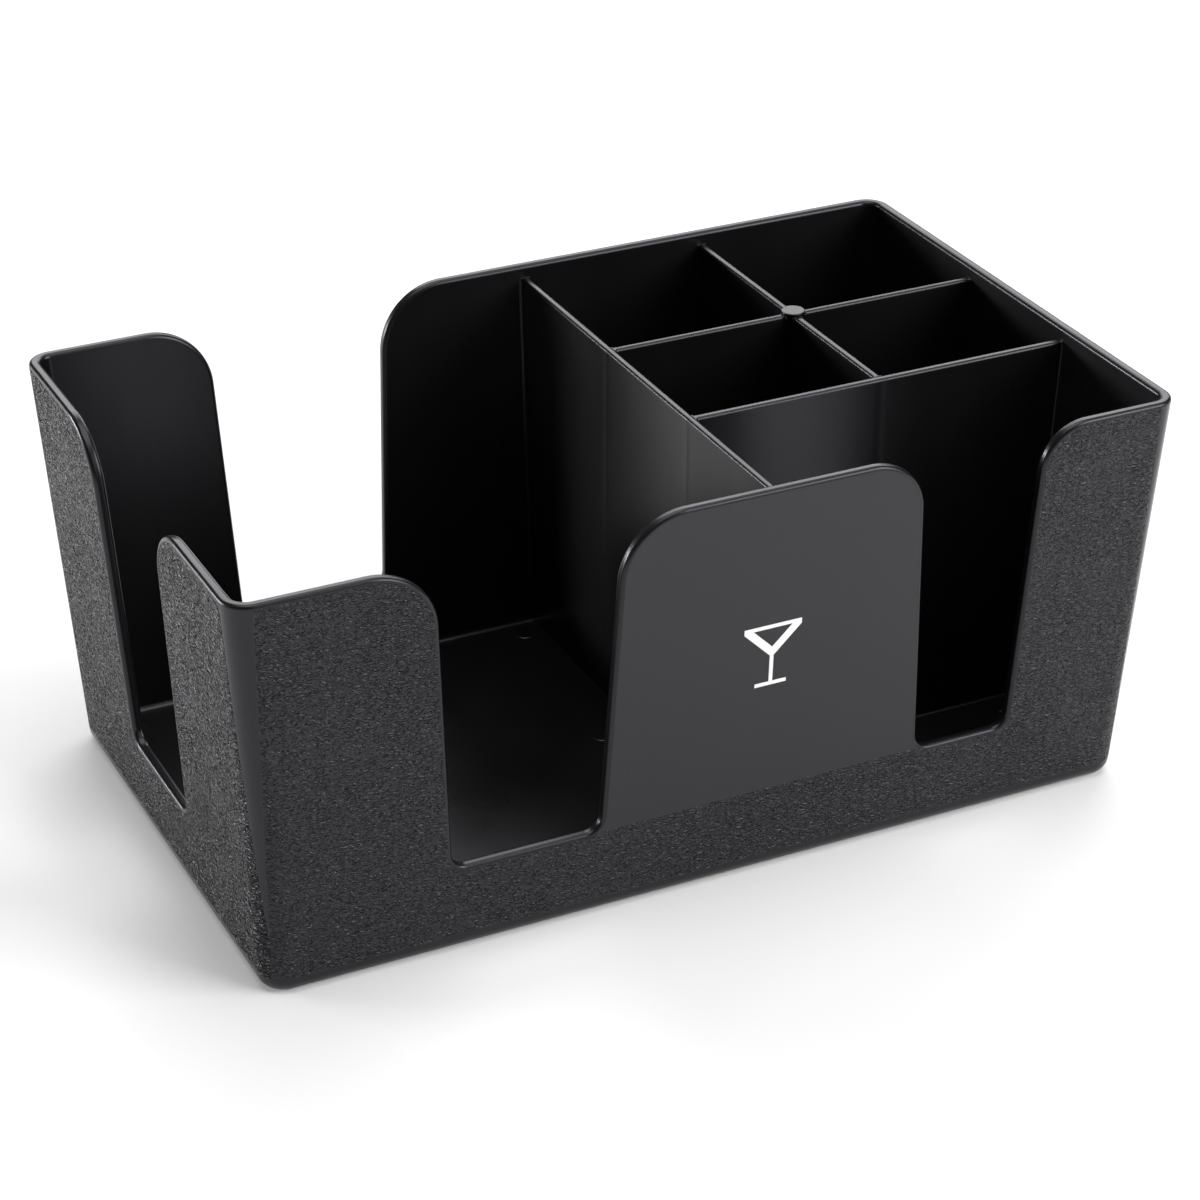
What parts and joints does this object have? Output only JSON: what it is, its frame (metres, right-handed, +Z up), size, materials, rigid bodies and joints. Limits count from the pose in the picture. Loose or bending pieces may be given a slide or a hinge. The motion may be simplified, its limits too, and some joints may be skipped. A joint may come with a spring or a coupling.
{
  "type": "bar caddy with napkin bay",
  "caption": "Open-topped moulded plastic bar caddy with a square napkin bay, a grid of small bays, a long straw bay, notched walls and a printed pictogram.",
  "frame": {"origin": "middle of the base, on the surface that the caddy stands on", "axes": "+X along the length, from the napkin bay to the small bays; +Y to the back; +Z up; the printed front panel faces -Y"},
  "size_m": [0.2398, 0.1454, 0.105],
  "materials": {
    "black_plastic": "injection-moulded black plastic, satin and smooth inside and on the front panel, with a fine leather-like grain on the outer walls",
    "white_ink": "one-colour white pad print on the smooth front panel"
  },
  "bodies": {
    "root": {"caddy_shell": "black_plastic", "main_divider": "black_plastic", "long_bay_wall": "black_plastic", "grid_web_left": "black_plastic", "grid_web_right": "black_plastic", "grid_web_front": "black_plastic", "grid_web_back": "black_plastic", "grid_post": "black_plastic", "printed_pictogram": "white_ink"}
  },
  "joints": []
}
